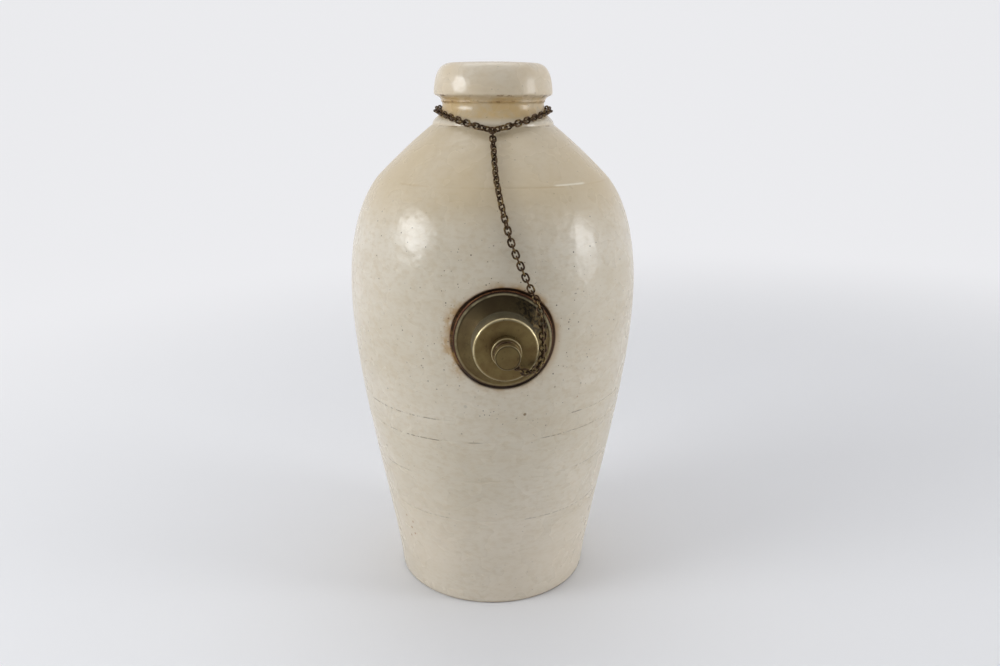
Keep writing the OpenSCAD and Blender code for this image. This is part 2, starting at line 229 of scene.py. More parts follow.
# Meshes
BOTTLE_STEPS = 216


def finished(bm, name, smooth_angle=35):
    """A new object from a bmesh, smooth but for edges sharper than the angle."""
    mesh = bpy.data.meshes.new(name)
    bm.to_mesh(mesh)
    bm.free()
    mesh.polygons.foreach_set("use_smooth", [True] * len(mesh.polygons))
    mesh.set_sharp_from_angle(angle=math.radians(smooth_angle))
    made = bpy.data.objects.new(name, mesh)
    scene.collection.objects.link(made)
    return made


def outline_edges(bm, points, closed):
    """Vertices and edges through a row of points in metres."""
    verts = [bm.verts.new(p) for p in points]
    pairs = list(zip(verts, verts[1:]))
    if closed:
        pairs.append((verts[-1], verts[0]))
    return verts + [bm.edges.new(pair) for pair in pairs]


def turned(points, closed, centre, axis, steps):
    """A new bmesh of an outline in metres, spun round an axis by a full turn and welded at its poles."""
    bm = bmesh.new()
    bmesh.ops.spin(bm, geom=outline_edges(bm, points, closed), cent=centre, axis=axis, dvec=(0, 0, 0),
                   angle=FULL_TURN, steps=steps, use_merge=True, use_normal_flip=False, use_duplicate=False)
    bmesh.ops.remove_doubles(bm, verts=bm.verts, dist=WELD)
    bmesh.ops.recalc_face_normals(bm, faces=bm.faces)
    return bm


def thrown(points):
    """A bmesh turned round the bottle's axis, from radii and heights in millimetres."""
    return turned([(r * MM, 0, z * MM) for r, z in points], False, (0, 0, 0), (0, 0, 1), BOTTLE_STEPS)


def lathed(points, closed, steps):
    """A bmesh turned round the stopper's axis, from radii and heights over the seat in millimetres."""
    outline = [(r * MM, (SEAT_Y - h) * MM, STOPPER_Z * MM) for r, h in points]
    return turned(outline, closed, (0, 0, STOPPER_Z * MM), (0, -1, 0), steps)


def from_stopper_axis(co):
    return math.hypot(co.x, co.z - STOPPER_Z * MM)


def round_stopper(co):
    """Angle of a place round the stopper's axis."""
    return math.atan2(co.z - STOPPER_Z * MM, co.x)


# Stoneware bottle
RING_STEPS = 160
BASE_RADII = (0, 20, 38, 48)
FOOT_ANGLES = (0, 22.5, 45, 67.5)
# The hollow: height of its rounded corner, the corner's points inwards and up, and which points are kept
FLOOR_ROUND = 3
FLOOR_CORNER = ((2, 0), (0.3, 1.2))
HOLLOW_CHAMFER = 3
HOLLOW_EVERY = 14
# The cutter for the seat, and the rings that close the wall again
PLUG_R = 27.4
PLUG_STEPS = 144
PLUG_ENDS = (25, -32)
PLUG_JOIN = 0.4
PLUG_TOLERANCE = 2e-5
CUT_WELD = 2e-6
SEAT_ROUND = 1.1
SEAT_DIP = 0.75
SEAT_ANGLES = (20, 40, 58, 74)
SEAT_APRON = 1.8
SEAT_BRIM = 0.02
SEAT_FILLET = 0.25
HOLE_CHAMFER = 0.4
SEAT_FLAT_RADII = (SEAT_R - 0.12, SEAT_R - 0.7, 22.0, HOLE_R + HOLE_CHAMFER)
INNER_CHAMFER = 0.2
INNER_RADII = (HOLE_R + 0.5, 23.0, PLUG_R - PLUG_JOIN)
# Share of the wall's thickness that parts its outer opening from its inner one
WALL_PARTING = 0.6
BOTTLE_SMOOTH = 50


def outer_outline():
    foot_arc = [(FOOT[0] + FOOT_ROUND * (math.sin(a) - 1), FOOT[1] - FOOT_ROUND * math.cos(a))
                for a in np.radians(FOOT_ANGLES)]
    base = [(r, 0) for r in BASE_RADII]
    side = [(side_radius(z), z) for z in side_heights()]
    rise = np.vstack([neck_curve, lip_curve, edge_curve, knob_curve])
    points = base + foot_arc + side + [tuple(p) for p in rise] + top_curve
    return [(max(r - (GLAZE_INSET if r > 0 else 0), 0), z) for r, z in points]


def hollow_outline():
    """Outline of the hollow: a rounded floor, the side one wall further in, a cone and the neck."""
    flank = side_curve[side_curve[:, 1] <= SHOULDER[1]]
    tangent = np.gradient(flank, axis=0)
    tangent /= np.linalg.norm(tangent, axis=1)[:, None]
    inner = flank - WALL * np.stack([tangent[:, 1], -tangent[:, 0]], 1)
    inner = inner[inner[:, 1] > FLOOR_T + FLOOR_ROUND][::HOLLOW_EVERY]
    foot_r = float(np.interp(FLOOR_T, inner[:, 1], inner[:, 0]))
    neck_z = inner[-1, 1] + (inner[-1, 0] - NECK_HOLLOW_R) * CONE_RISE
    floor = [(0, FLOOR_T), (0.5 * foot_r, FLOOR_T)]
    corner = [(foot_r - inwards, FLOOR_T + up) for inwards, up in FLOOR_CORNER]
    neck = [(NECK_HOLLOW_R, neck_z), (NECK_HOLLOW_R, HOLLOW_TOP - HOLLOW_CHAMFER),
            (NECK_HOLLOW_R - HOLLOW_CHAMFER, HOLLOW_TOP), (0, HOLLOW_TOP)]
    return floor + corner + [tuple(p) for p in inner] + neck


def front_depth(x, z, inset):
    """Distance of the side's front, moved in by an inset, from the plane of the bottle's axis."""
    r = side_radius(z) - inset
    return math.sqrt(max(r * r - x * x, 0.0))


def outer_depth(x, z):
    return front_depth(x, z, GLAZE_INSET)


def inner_depth(x, z):
    return front_depth(x, z, WALL)


def seat_rings():
    """Rings from the side of the bottle over the rounded rim to the flat seat, and through the wall, each as
    a radius round the stopper's axis and a function for the distance from the plane of the bottle's axis."""
    seat = -SEAT_Y

    def proud(x, z):
        return max(outer_depth(x, z) - seat, 0.0)

    def rim(dip):
        def depth(x, z):
            return outer_depth(x, z) - min(dip, SEAT_DIP) * min(proud(x, z), SEAT_ROUND) / SEAT_ROUND
        return depth

    def flat(x, z):
        return min(outer_depth(x, z), seat)

    outside = (PLUG_R - PLUG_JOIN, SEAT_R + SEAT_APRON, SEAT_R + SEAT_ROUND)
    rings = [(radius, outer_depth) for radius in outside]
    for angle in np.radians(SEAT_ANGLES):
        rings.append((SEAT_R + SEAT_ROUND * (1 - math.sin(angle)), rim(SEAT_ROUND * (1 - math.cos(angle)))))
    rings += [(SEAT_R + SEAT_BRIM, rim(SEAT_ROUND)),
              (SEAT_R, lambda x, z: flat(x, z) + SEAT_FILLET * proud(x, z))]
    rings += [(radius, flat) for radius in SEAT_FLAT_RADII]
    rings += [(HOLE_R, lambda x, z: seat - HOLE_CHAMFER),
              (HOLE_R, lambda x, z: 0.5 * (seat + inner_depth(x, z))),
              (HOLE_R, lambda x, z: inner_depth(x, z) + INNER_CHAMFER)]
    return rings + [(radius, inner_depth) for radius in INNER_RADII]


def plug_cutter():
    """A round cutter through the wall where the stopper's seat goes."""
    outer, inner = PLUG_ENDS
    reach = [(0, outer), (PLUG_R, outer), (PLUG_R, inner), (0, inner)]
    return finished(lathed(reach, False, PLUG_STEPS), "seat_cutter")


def outer_shell():
    """The thrown outside of the bottle, uneven, with its wheel marks off level."""
    shell = thrown(outer_outline())
    for v in shell.verts:
        r = math.hypot(v.co.x, v.co.y)
        if r > WELD and FOOT[1] * MM < v.co.z < COLLAR_FOOT[1] * MM:
            z = v.co.z / MM
            inward = worn(v.co.x / MM, v.co.y / MM, z)
            lifted = z + mark_lift(math.atan2(v.co.x, -v.co.y), z)
            grown = (side_radius(lifted) - side_radius(z) - inward) * MM
            v.co = (v.co.x * (r + grown) / r, v.co.y * (r + grown) / r, lifted * MM)
    mesh = bpy.data.meshes.new("outer_shell")
    shell.to_mesh(mesh)
    shell.free()
    return mesh


def bottle_with_plain_hole():
    """The thrown bottle with its hollow, cut through where the seat goes."""
    bm = thrown(hollow_outline())
    bmesh.ops.reverse_faces(bm, faces=bm.faces)
    shell = outer_shell()
    bm.from_mesh(shell)
    bpy.data.meshes.remove(shell)
    blank = finished(bm, "bottle_blank")
    cutter = plug_cutter()
    cut = blank.modifiers.new("seat", "BOOLEAN")
    cut.operation = "DIFFERENCE"
    cut.solver = "EXACT"
    cut.object = cutter
    bpy.context.view_layer.update()
    result = bpy.data.meshes.new_from_object(blank.evaluated_get(bpy.context.evaluated_depsgraph_get()))
    for used in (blank, cutter):
        mesh = used.data
        bpy.data.objects.remove(used)
        bpy.data.meshes.remove(mesh)
    return result


def on_cut(face):
    """Whether a face lies on the wall that the cutter left at the front."""
    away = [abs(from_stopper_axis(v.co) - PLUG_R * MM) for v in face.verts]
    return face.calc_center_median().y < 0 and max(away) < PLUG_TOLERANCE


def seat_surface(bm):
    """Adds the rings of the seat to a bmesh, and gives the edges of the first and of the last ring."""
    verts = bmesh.ops.create_circle(bm, segments=RING_STEPS, radius=1.0, cap_ends=False)["verts"]
    angle_of = {v: math.atan2(v.co.y, v.co.x) for v in verts}
    edges = list({e for v in verts for e in v.link_edges})
    first_edges = edges
    for number, (radius, depth) in enumerate(seat_rings()):
        if number:
            grown = bmesh.ops.extrude_edge_only(bm, edges=edges)["geom"]
            verts = [g for g in grown if isinstance(g, bmesh.types.BMVert)]
            edges = [g for g in grown if isinstance(g, bmesh.types.BMEdge)
                     and all(v in verts for v in g.verts)]
            for v in verts:
                angle_of[v] = round_stopper(v.co)
        for v in verts:
            x = radius * math.cos(angle_of[v])
            z = STOPPER_Z + radius * math.sin(angle_of[v])
            v.co = Vector((x, -depth(x, z), z)) * MM
    return first_edges, edges


def make_bottle():
    bm = bmesh.new()
    blank = bottle_with_plain_hole()
    bm.from_mesh(blank)
    bpy.data.meshes.remove(blank)
    bmesh.ops.delete(bm, geom=[f for f in bm.faces if on_cut(f)], context="FACES")
    bmesh.ops.remove_doubles(bm, verts=bm.verts, dist=CUT_WELD)
    in_wall = (BELLY[0] - WALL_PARTING * WALL) * MM
    open_edges = [e for e in bm.edges if e.is_boundary]
    outer_loop = [e for e in open_edges if math.hypot(*e.verts[0].co.xy) > in_wall]
    inner_loop = [e for e in open_edges if e not in outer_loop]
    first_edges, last_edges = seat_surface(bm)
    bmesh.ops.bridge_loops(bm, edges=outer_loop + first_edges)
    bmesh.ops.bridge_loops(bm, edges=inner_loop + last_edges)
    bmesh.ops.remove_doubles(bm, verts=bm.verts, dist=WELD)
    bmesh.ops.recalc_face_normals(bm, faces=bm.faces)
    return finished(bm, "glazed_bottle", BOTTLE_SMOOTH)


# Stopper
SOFT_ANGLE = 28
SOFT_WIDTH = 0.35
SOFT_SEGMENTS = 3
TURNED_SMOOTH = 30
BRASS_STEPS = 128
KNOB_STEPS = 96
HUB_ROUND = 1.2
HUB_ROUND_POINTS = 7
RIM_POINTS = 11
# The skirt's start beside the rim, as steps inwards and up, and how far its end clears the hub
SKIRT_START = ((0.9, 0), (1.2, 0.15))
SKIRT_CLEARS = 0.2
WASHER_STEPS = 160
WASHER_SMOOTH = 40
WASHER_MID_R = 19
WASHER_PLAY = 0.02
# The washer's edge, as steps in from its radius and heights
WASHER_BULGE = ((0.5, WASHER_PLAY), (0.2, 0.25), (0.06, 0.7), (0.02, 1.1), (0.06, 1.5), (0.2, 1.95),
                (0.5, WASHER_T - WASHER_PLAY))
# How deep the washer's edge is uneven, how fast that varies round and through it, where the noise starts,
# and how wide the uneven edge is
COARSE_DEPTH = 0.16
FINE_DEPTH = 0.12
COARSE_RATE = 6
FINE_RATE = 23
THROUGH_RATE = 300
COARSE_START = 2.1
FINE_START = 5.3
UNEVEN_WIDTH = 0.9


def turned_piece(name, outline, closed, steps):
    """A piece of the stopper turned from its outline, with softened edges."""
    bm = lathed(outline, closed, steps)
    sharp = [e for e in bm.edges
             if len(e.link_faces) == 2 and e.calc_face_angle(0) > math.radians(SOFT_ANGLE)]
    bmesh.ops.bevel(bm, geom=sharp, offset=SOFT_WIDTH * MM, offset_type="OFFSET", segments=SOFT_SEGMENTS,
                    profile=0.5, affect="EDGES", clamp_overlap=True, material=-1)
    bmesh.ops.recalc_face_normals(bm, faces=bm.faces)
    return finished(bm, name, TURNED_SMOOTH)


def flange_outline():
    rim_r = FLANGE_R - RIM_T / 2
    rim_mid = WASHER_T + RIM_T / 2
    rim = [(rim_r + RIM_T / 2 * math.cos(a), rim_mid + RIM_T / 2 * math.sin(a))
           for a in np.radians(np.linspace(-90, 90, RIM_POINTS))]
    skirt = [(rim_r - inwards, RIM_H + up) for inwards, up in SKIRT_START]
    top = [(HUB_R + SKIRT_CLEARS, HUB_FOOT_H), (BOSS_R, HUB_FOOT_H)]
    return [(BOSS_R, WASHER_T)] + rim + skirt + top


def hub_outline():
    edge = [(HUB_R - HUB_ROUND + HUB_ROUND * math.cos(a), HUB_FACE_H - HUB_ROUND + HUB_ROUND * math.sin(a))
            for a in np.radians(np.linspace(0, 90, HUB_ROUND_POINTS))]
    inside = [(STUD_R, HUB_FACE_H - HUB_WALL), (HUB_R - HUB_WALL, HUB_FACE_H - HUB_WALL),
              (HUB_R - HUB_WALL, HUB_FOOT_H)]
    return [(HUB_R, HUB_FOOT_H)] + edge + [(STUD_R, HUB_FACE_H)] + inside


def knob_outline():
    head = [(0, HEAD_TOP_H), (HEAD_R, HEAD_TOP_H), (HEAD_R, HEAD_FOOT_H), (GROOVE_R, HEAD_FOOT_H)]
    collar = [(GROOVE_R, GROOVE_H), (COLLAR_R, GROOVE_H), (COLLAR_R, HUB_FACE_H), (STUD_R, HUB_FACE_H)]
    tail = [(STUD_R, STUD_END_H), (TAIL_R, STUD_END_H), (TAIL_R - TAIL_H / 2, STUD_END_H - TAIL_H),
            (0, STUD_END_H - TAIL_H)]
    return head + collar + tail


def edge_noise(angle, rate, level):
    return noise.noise(Vector((rate * math.cos(angle), rate * math.sin(angle), level)))


def make_washer():
    """A rubber ring that bulges at its edge and is uneven from years under the flange."""
    low, high = WASHER_PLAY, WASHER_T - WASHER_PLAY
    bulge = [(WASHER_R - step, h) for step, h in WASHER_BULGE]
    outline = [(BUSH_BORE_R, low), (WASHER_MID_R, low)] + bulge + [(WASHER_MID_R, high), (BUSH_BORE_R, high)]
    bm = lathed(outline, True, WASHER_STEPS)
    for v in bm.verts:
        away = from_stopper_axis(v.co)
        if away > (WASHER_R - UNEVEN_WIDTH) * MM:
            angle = round_stopper(v.co)
            coarse = edge_noise(angle, COARSE_RATE, COARSE_START + THROUGH_RATE * v.co.y)
            fine = edge_noise(angle, FINE_RATE, FINE_START)
            shrink = 1 - MM * (COARSE_DEPTH * (1 + coarse) + FINE_DEPTH * max(0, fine)) / away
            v.co.x *= shrink
            v.co.z = STOPPER_Z * MM + (v.co.z - STOPPER_Z * MM) * shrink
    bmesh.ops.recalc_face_normals(bm, faces=bm.faces)
    return finished(bm, "rubber_washer", WASHER_SMOOTH)


# Finishes
# Specks: the least reach, the range of reaches and the soft edge as shares of the size, and the ragged grain
SPECK_LEAST = 0.5
SPECK_RANGE = 0.7
SPECK_SOFT = 0.35
RAGGED_GRAIN = 5


class Finish:
    """A material's nodes, with short ways to add what its pattern needs."""

    def __init__(self, name, colour):
        self.material = bpy.data.materials.new(name)
        self.material.use_nodes = True
        self.tree = self.material.node_tree
        self.shader = self.tree.nodes["Principled BSDF"]
        self.place = self.node("ShaderNodeTexCoord").outputs["Object"]
        self.colour = colour

    def node(self, kind, **settings):
        made = self.tree.nodes.new(kind)
        for key, value in settings.items():
            setattr(made, key, value)
        return made

    def put(self, socket, value):
        """Sets a socket, or links it where the value is another socket."""
        if isinstance(value, bpy.types.NodeSocket):
            self.tree.links.new(value, socket)
        else:
            socket.default_value = value

    def surface(self, name, value):
        self.put(self.shader.inputs[name], value)

    def math(self, operation, first, second=0.0, third=None, clamp=False):
        made = self.node("ShaderNodeMath", operation=operation, use_clamp=clamp)
        for socket, value in zip(made.inputs, (first, second, third)):
            if value is not None:
                self.put(socket, value)
        return made.outputs[0]

    def times(self, *values):
        product = values[0]
        for value in values[1:]:
            product = self.math("MULTIPLY", product, value)
        return product

    def between(self, value, low, high, at_low=0.0, at_high=1.0):
        """A smooth step of a value from one level to another, kept within them."""
        made = self.node("ShaderNodeMapRange", interpolation_type="SMOOTHSTEP")
        for socket, number in zip(made.inputs, (value, low, high, at_low, at_high)):
            self.put(socket, number)
        return made.outputs[0]

    def fading(self, value, low, high):
        """1 where a value is below a level, down to 0 above another."""
        return self.between(value, low, high, 1.0, 0.0)

    def near(self, value, centre, width):
        """1 where a value is at a centre, down to 0 at a distance of width."""
        away = self.math("ABSOLUTE", self.math("SUBTRACT", value, centre))
        return self.fading(away, 0.0, width)

    def within(self, value, low, high, soft):
        """1 where a value lies between two levels, with soft ends."""
        return self.times(self.between(value, low - soft, low), self.fading(value, high, high + soft))

    def mix(self, share, first, second):
        made = self.node("ShaderNodeMix", data_type="RGBA")
        for socket, value in zip((made.inputs[0], made.inputs[6], made.inputs[7]), (share, first, second)):
            self.put(socket, value)
        return made.outputs[2]

    def tint(self, colour, *shares):
        """Lays another colour over the pattern so far, by the product of the shares."""
        self.colour = self.mix(self.times(*shares), self.colour, colour)

    def moved(self, location=(0, 0, 0), scale=(1, 1, 1)):
        made = self.node("ShaderNodeMapping")
        for name, value in zip(("Vector", "Location", "Scale"), (self.place, location, scale)):
            self.put(made.inputs[name], value)
        return made.outputs[0]

    def clouds(self, scale, detail=3.0, roughness=0.5, place=None):
        made = self.node("ShaderNodeTexNoise")
        values = {"Vector": place or self.place, "Scale": scale, "Detail": detail, "Roughness": roughness}
        for name, value in values.items():
            self.put(made.inputs[name], value)
        return made.outputs["Fac"]

    def dots(self, scale, size, share, place=None, ragged=0.0):
        """Round specks: 1 inside a speck and 0 outside, in a share of the cells of a random lattice."""
        made = self.node("ShaderNodeTexVoronoi")
        self.put(made.inputs["Vector"], place or self.place)
        self.put(made.inputs["Scale"], scale)
        chosen = self.node("ShaderNodeSeparateColor")
        self.put(chosen.inputs[0], made.outputs["Color"])
        picked = self.math("LESS_THAN", chosen.outputs[0], share)
        reach = self.math("MULTIPLY_ADD", chosen.outputs[1], SPECK_RANGE * size, SPECK_LEAST * size)
        away = made.outputs["Distance"]
        if ragged:
            away = self.math("MULTIPLY_ADD", self.clouds(scale * RAGGED_GRAIN, 2), ragged, away)
        inside = self.math("SUBTRACT", reach, away)
        return self.times(picked, self.between(inside, 0.0, SPECK_SOFT * size))

    def axis(self, name):
        """One coordinate of the place, in metres."""
        made = self.node("ShaderNodeSeparateXYZ")
        self.put(made.inputs[0], self.place)
        return made.outputs[name]

    def azimuth(self):
        """Angle round the bottle in degrees, 0 at the front and growing to the right."""
        angle = self.math("ARCTAN2", self.axis("X"), self.times(self.axis("Y"), -1.0))
        return self.times(angle, math.degrees(1))

    def from_stopper(self):
        """Distance from the stopper's axis."""
        flat = self.moved(location=(0, 0, -STOPPER_Z * MM), scale=(1, 0, 1))
        made = self.node("ShaderNodeVectorMath", operation="LENGTH")
        self.put(made.inputs[0], flat)
        return made.outputs["Value"]

    def turning_place(self, lines):
        """A place that varies only along the stopper's axis and away from it, for marks of the lathe."""
        away = self.times(self.from_stopper(), lines)
        along = self.times(self.axis("Y"), lines)
        made = self.node("ShaderNodeCombineXYZ")
        self.put(made.inputs[0], away)
        self.put(made.inputs[1], along)
        return made.outputs[0]

    def bump(self, *layers):
        """Bumps one on another, each as a height, a strength and a distance in metres."""
        normal = None
        for value, strength, distance in layers:
            made = self.node("ShaderNodeBump")
            self.put(made.inputs["Strength"], strength)
            self.put(made.inputs["Distance"], distance)
            self.put(made.inputs["Height"], value)
            if normal:
                self.put(made.inputs["Normal"], normal)
            normal = made.outputs["Normal"]
        self.surface("Normal", normal)

    def done(self):
        self.surface("Base Color", self.colour)
        return self.material


# Colours of the glaze, of what stains it, and of painted shade and a painted highlight on it
CREAM = srgb(204, 194, 174)
PALE = srgb(218, 209, 193)
BEIGE = srgb(190, 173, 144)
WARM_SHOULDER = srgb(197, 178, 143)
WARM_KNOB = srgb(211, 194, 166)
PALE_FOOT = srgb(216, 203, 182)
BARE_CLAY = srgb(140, 118, 88)
# A painted highlight along the lip over the shoulder's crease
CREASE_HIGHLIGHT = srgb(236, 228, 210)
NECK_STAIN = srgb(204, 174, 120)
TAN = srgb(176, 146, 98)
BROWN = srgb(112, 80, 44)
IRON = srgb(58, 42, 32)
RUSTY_SPECK = srgb(160, 104, 50)
RUST_HALO = srgb(166, 134, 88)
RUST_BESIDE = srgb(168, 132, 80)
SEAT_RUST = srgb(142, 98, 62)
# Painted shade in the gap round the washer
GAP_SHADE = srgb(46, 31, 24)
MARK_DIRT = srgb(80, 58, 36)
OLIVE_BLOT = srgb(110, 82, 36)
RUSTY_BLOT = srgb(150, 104, 58)
GREY_BLOT = srgb(112, 108, 92)

# Heights in the glaze in metres, as low end, high end and how soft the ends are
SHOULDER_BAND = (0.226, 0.249, 0.03)
NECK_BAND = (0.2545, 0.2622, 0.0020)
SPECKED_BAND = (0.125, 0.195, 0.03)
# Heights in metres where something sets in, and where it is in full
KNOB_FROM = (0.2625, 0.2645)
FOOT_FROM = (0.09, 0.015)
UNEVEN_FROM = (0.160, 0.185)
RUST_FROM = (0.150, 0.172)
SEAT_RUST_FROM = (0.136, 0.160)
# Heights of the bare clay and of its dullness in metres, from full to nothing
CLAY_REACH = (0.0003, 0.0016)
DULL_REACH = (0.0002, 0.001)
# Distances from the stopper's axis in metres, from full to nothing
HALO_REACH = (0.0246, 0.0286)
SEAT_REACH = (0.0243, 0.0255)
GAP_REACH = (0.0243, 0.0249)
BESIDE_REACH = (0.0255, 0.031)
SPECKED_REACH = (0.03, 0.06)
# Y of the front and X of the left in metres, where they set in and where they are in full
FRONT_FROM = (-0.03, -0.05)
LEFT_FROM = (-0.016, -0.023)
# Rings round the neck, as height and half the width in metres, and dark ones with a share of darkness
PALE_RING = (0.2510, 0.0030)
UNDERCUT_RING = (0.2612, 0.0025)
# The dark rings are dirt crumbs; the second, in the undercut under the knob, is also painted shade
DIRT_AND_SHADE_RINGS = ((0.26385, 0.0007, 0.85), (0.2609, 0.0009, 0.6), (0.2494, 0.0005, 0.6))

# Lengths of the wheel marks that hold dirt, as number of the mark, first and last azimuth, and share of dirt
DIRTY_MARKS = ((3, -63, -27, 0.75), (3, 30, 33, 0.8), (3, 38, 62, 0.3),
               (2, -58, -48, 0.5), (2, -44, -27, 0.8), (2, -12, -10, 0.6), (2, 18, 27, 0.7),
               (2, 31, 46, 0.5), (1, -60, -46, 0.5), (1, 38, 56, 0.5), (0, -54, -26, 0.35),
               (0, 13, 58, 0.45), (3, 100, 170, 0.6), (2, -150, -80, 0.6), (1, 90, 140, 0.4),
               (0, -170, -120, 0.4))
# Half the width of the dirt in a mark and of the crease in metres, and the length of a soft end in degrees
MARK_DIRT_HALF = 0.00042
CREASE_HALF = 0.0006
MARK_END = 3
# First and last azimuth of the painted highlight over the crease, and its soft end in degrees
CREASE_HIGHLIGHT_SIDES = (27, 42, MARK_END)

# Blots in the glaze, as azimuth, height, radius of the bottle there, size, share and colour
BLOTS = ((8.6, 118, 73, 1.2, 0.85, OLIVE_BLOT), (-55, 45, 59, 1.1, 0.8, RUSTY_BLOT),
         (-50, 43, 59, 1.0, 0.8, RUSTY_BLOT), (-52, 38.5, 58, 1.1, 0.8, RUSTY_BLOT),
         (-50, 35.3, 58, 1.0, 0.8, RUSTY_BLOT), (-54, 32.5, 57, 1.0, 0.7, RUSTY_BLOT),
         (-14, 122.5, 74, 1.2, 0.3, GREY_BLOT), (31, 123, 74, 0.8, 0.6, RUSTY_BLOT),
         (20, 131, 75, 0.9, 0.5, OLIVE_BLOT), (150, 190, 73, 1.1, 0.7, RUSTY_BLOT))
# Sizes of a blot's core and of its edge, and how ragged it is, as shares of its size
BLOT_CORE = 0.7
BLOT_EDGE = 1.3
BLOT_RAGGED = 0.8

# Roughness of the glaze from place to place, what a speck adds to it, and that of the clay and the gap
GLAZE_ROUGHNESS = (0.22, 0.34)
SPECK_ROUGHNESS = 0.2
CLAY_ROUGHNESS = 0.75
GAP_ROUGHNESS = 0.7
GLAZE_IOR = 1.5
# Azimuths to either side of the front where the glaze is more uneven, with soft ends, and how uneven it is
UNEVEN_SIDES = (14, 46, 10)
UNEVEN_MORE = 0.4
UNEVEN_LEAST = 0.05


def glaze_tones(f, z, grain, on_knob):
    """Soft mottling and faint bands from the wheel, a warmer shoulder and knob, and a paler lower side."""
    f.tint(PALE, f.between(f.clouds(8, 4, 0.55), 0.36, 0.66))
    bands = f.clouds(16, 5, 0.62, f.moved(scale=(1, 1, 7)))
    f.tint(BEIGE, f.between(bands, 0.44, 0.72), 0.22)
    f.tint(BEIGE, f.between(grain, 0.4, 0.75), 0.45)
    f.tint(WARM_SHOULDER, f.within(z, *SHOULDER_BAND), f.between(f.clouds(26, 4), 0.25, 0.7, 0.5, 0.9))
    f.tint(WARM_KNOB, on_knob, f.between(f.clouds(60, 4), 0.3, 0.65, 0.35, 0.9))
    f.tint(PALE_FOOT, f.between(z, *FOOT_FROM), f.between(f.clouds(30, 3), 0.3, 0.65, 0.2, 0.6))


def neck_stains_and_shade(f, z):
    """A paler ring under the chain, and stains, dirt and painted shade in the neck under the knob."""
    patchy = f.clouds(75, 5, 0.65)
    f.tint(PALE, f.near(z, *PALE_RING), 0.5)
    stain = f.within(z, *NECK_BAND)
    f.tint(NECK_STAIN, stain, f.between(patchy, 0.36, 0.6, 0.3, 1.0), 0.85)
    f.tint(TAN, f.near(z, *UNDERCUT_RING), f.between(patchy, 0.35, 0.6, 0.2, 0.8))
    f.tint(BROWN, stain, f.dots(520, 0.22, 0.4), 0.55)
    crumbs = f.times(f.between(f.clouds(310, 3, 0.6), 0.50, 0.58), f.between(patchy, 0.42, 0.56, 0.3, 1.0))
    # Dark crumb rings: dirt, and painted shade in the undercut under the knob
    for height, width, darkness in DIRT_AND_SHADE_RINGS:
        f.tint(BROWN, f.near(z, height, width), crumbs, darkness)


def stopper_rust_and_gap_shade(f, z, away, front, gap):
    """Rust round the stopper, most of it above and at the left, and painted shade in the gap round the
    washer.
    """
    halo = f.times(f.fading(away, *HALO_REACH), f.between(f.clouds(120, 4), 0.38, 0.62, 0.2, 1.0), front)
    f.tint(RUST_HALO, halo, f.between(z, *RUST_FROM, 0.5, 1.0))
    f.tint(SEAT_RUST, f.fading(away, *SEAT_REACH), front, f.between(z, *SEAT_RUST_FROM, 0.25, 0.65))
    # Painted shade: a near black line in the gap round the washer
    f.tint(GAP_SHADE, gap, 0.85)
    left_side = f.times(f.between(f.axis("X"), *LEFT_FROM), f.fading(away, *BESIDE_REACH), front)
    f.tint(RUST_BESIDE, left_side, f.between(f.clouds(210, 4, 0.6), 0.42, 0.62), 0.75)
    f.tint(BROWN, left_side, f.dots(700, 0.3, 0.6), 0.8)


def mark_dirt_and_crease_highlight(f, z, azimuth):
    """Dirt along parts of the wheel marks, a faint tan line in the crease at the shoulder, and a painted
    highlight along the lip over the crease.
    """
    dashes = f.between(f.clouds(520, 2), 0.40, 0.52)
    sideways = f.math("SINE", f.math("RADIANS", azimuth))
    levels = [f.math("MULTIPLY_ADD", sideways, -climb * MM, f.math("SUBTRACT", z, (height + lift) * MM))
              for height, (lift, climb) in zip(MARK_HEIGHTS, MARK_LIFTS)]
    for number, first, last, darkness in DIRTY_MARKS:
        line = f.near(levels[number], 0.0, MARK_DIRT_HALF)
        f.tint(MARK_DIRT, line, f.within(azimuth, first, last, MARK_END), dashes, darkness)
    crease_z = SHOULDER[1] * MM
    f.tint(TAN, f.near(z, crease_z, CREASE_HALF), f.between(f.clouds(40, 3), 0.45, 0.6, 0.0, 0.3))
    # Painted highlight: a near white line along the lip over the crease at the right
    f.tint(CREASE_HIGHLIGHT, f.near(z, crease_z + CREASE_HALF, CREASE_HALF), f.within(azimuth, *CREASE_HIGHLIGHT_SIDES), 0.8)


def iron_specks(f, small, beside):
    """Small iron specks all over, more of them beside the stopper, and a few rusty ones."""
    f.tint(IRON, small, 0.85)
    f.tint(IRON, f.dots(420, 0.16, 0.5, f.moved(location=(0.3, 0.1, 0.2))), beside, 0.8)
    f.tint(RUSTY_SPECK, f.dots(34, 0.05, 0.14, f.moved(location=(0.11, 0.04, 0.36)), 0.03), 0.6)


def single_blots(f, z, azimuth, grain):
    """Blots at their own places, with ragged edges."""
    for angle, height, radius, size, share, colour in BLOTS:
        across = f.times(f.math("SUBTRACT", azimuth, angle), math.radians(radius) * MM)
        up = f.math("SUBTRACT", z, height * MM)
        spread = f.math("SQRT", f.math("MULTIPLY_ADD", up, up, f.times(across, across)))
        ragged = f.math("MULTIPLY_ADD", grain, BLOT_RAGGED * size * MM, spread)
        f.tint(colour, f.between(ragged, BLOT_CORE * size * MM, BLOT_EDGE * size * MM, share, 0.0))


